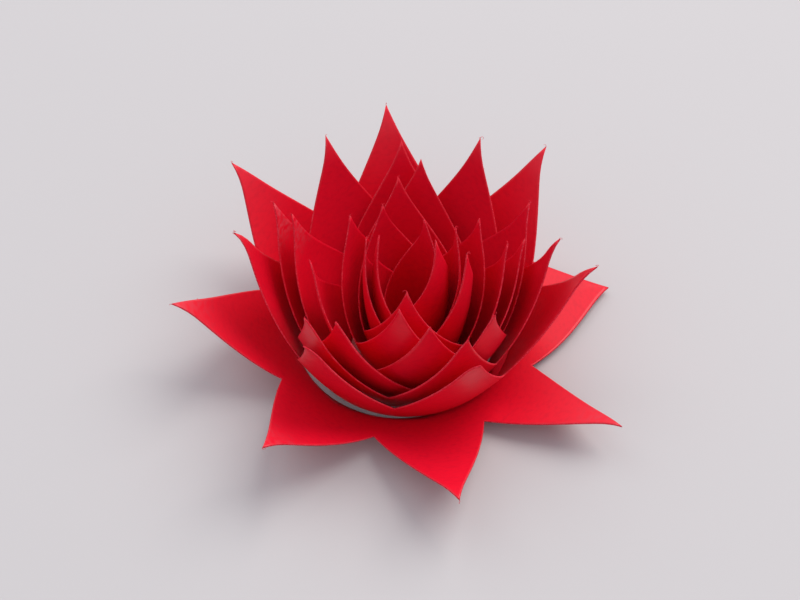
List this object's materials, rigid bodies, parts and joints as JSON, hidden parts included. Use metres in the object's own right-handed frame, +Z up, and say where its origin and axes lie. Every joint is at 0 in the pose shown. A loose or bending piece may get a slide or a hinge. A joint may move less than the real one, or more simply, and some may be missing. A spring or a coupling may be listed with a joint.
{
  "type": "paper flower",
  "caption": "Rolled paper flower: one strip of red card with pointed petals, coiled upright, its outer turn opened flat as a star.",
  "frame": {"origin": "middle of the underside of the tab that the flower stands on", "axes": "+Z up, +X to the right and +Y away from the viewer of the picture"},
  "size_m": [0.0939, 0.0972, 0.0373],
  "materials": {
    "red_card": "matte",
    "clear_glue": "satin"
  },
  "bodies": {
    "root": {"petal_spiral": "red_card", "glue_bed": "clear_glue"}
  },
  "joints": []
}
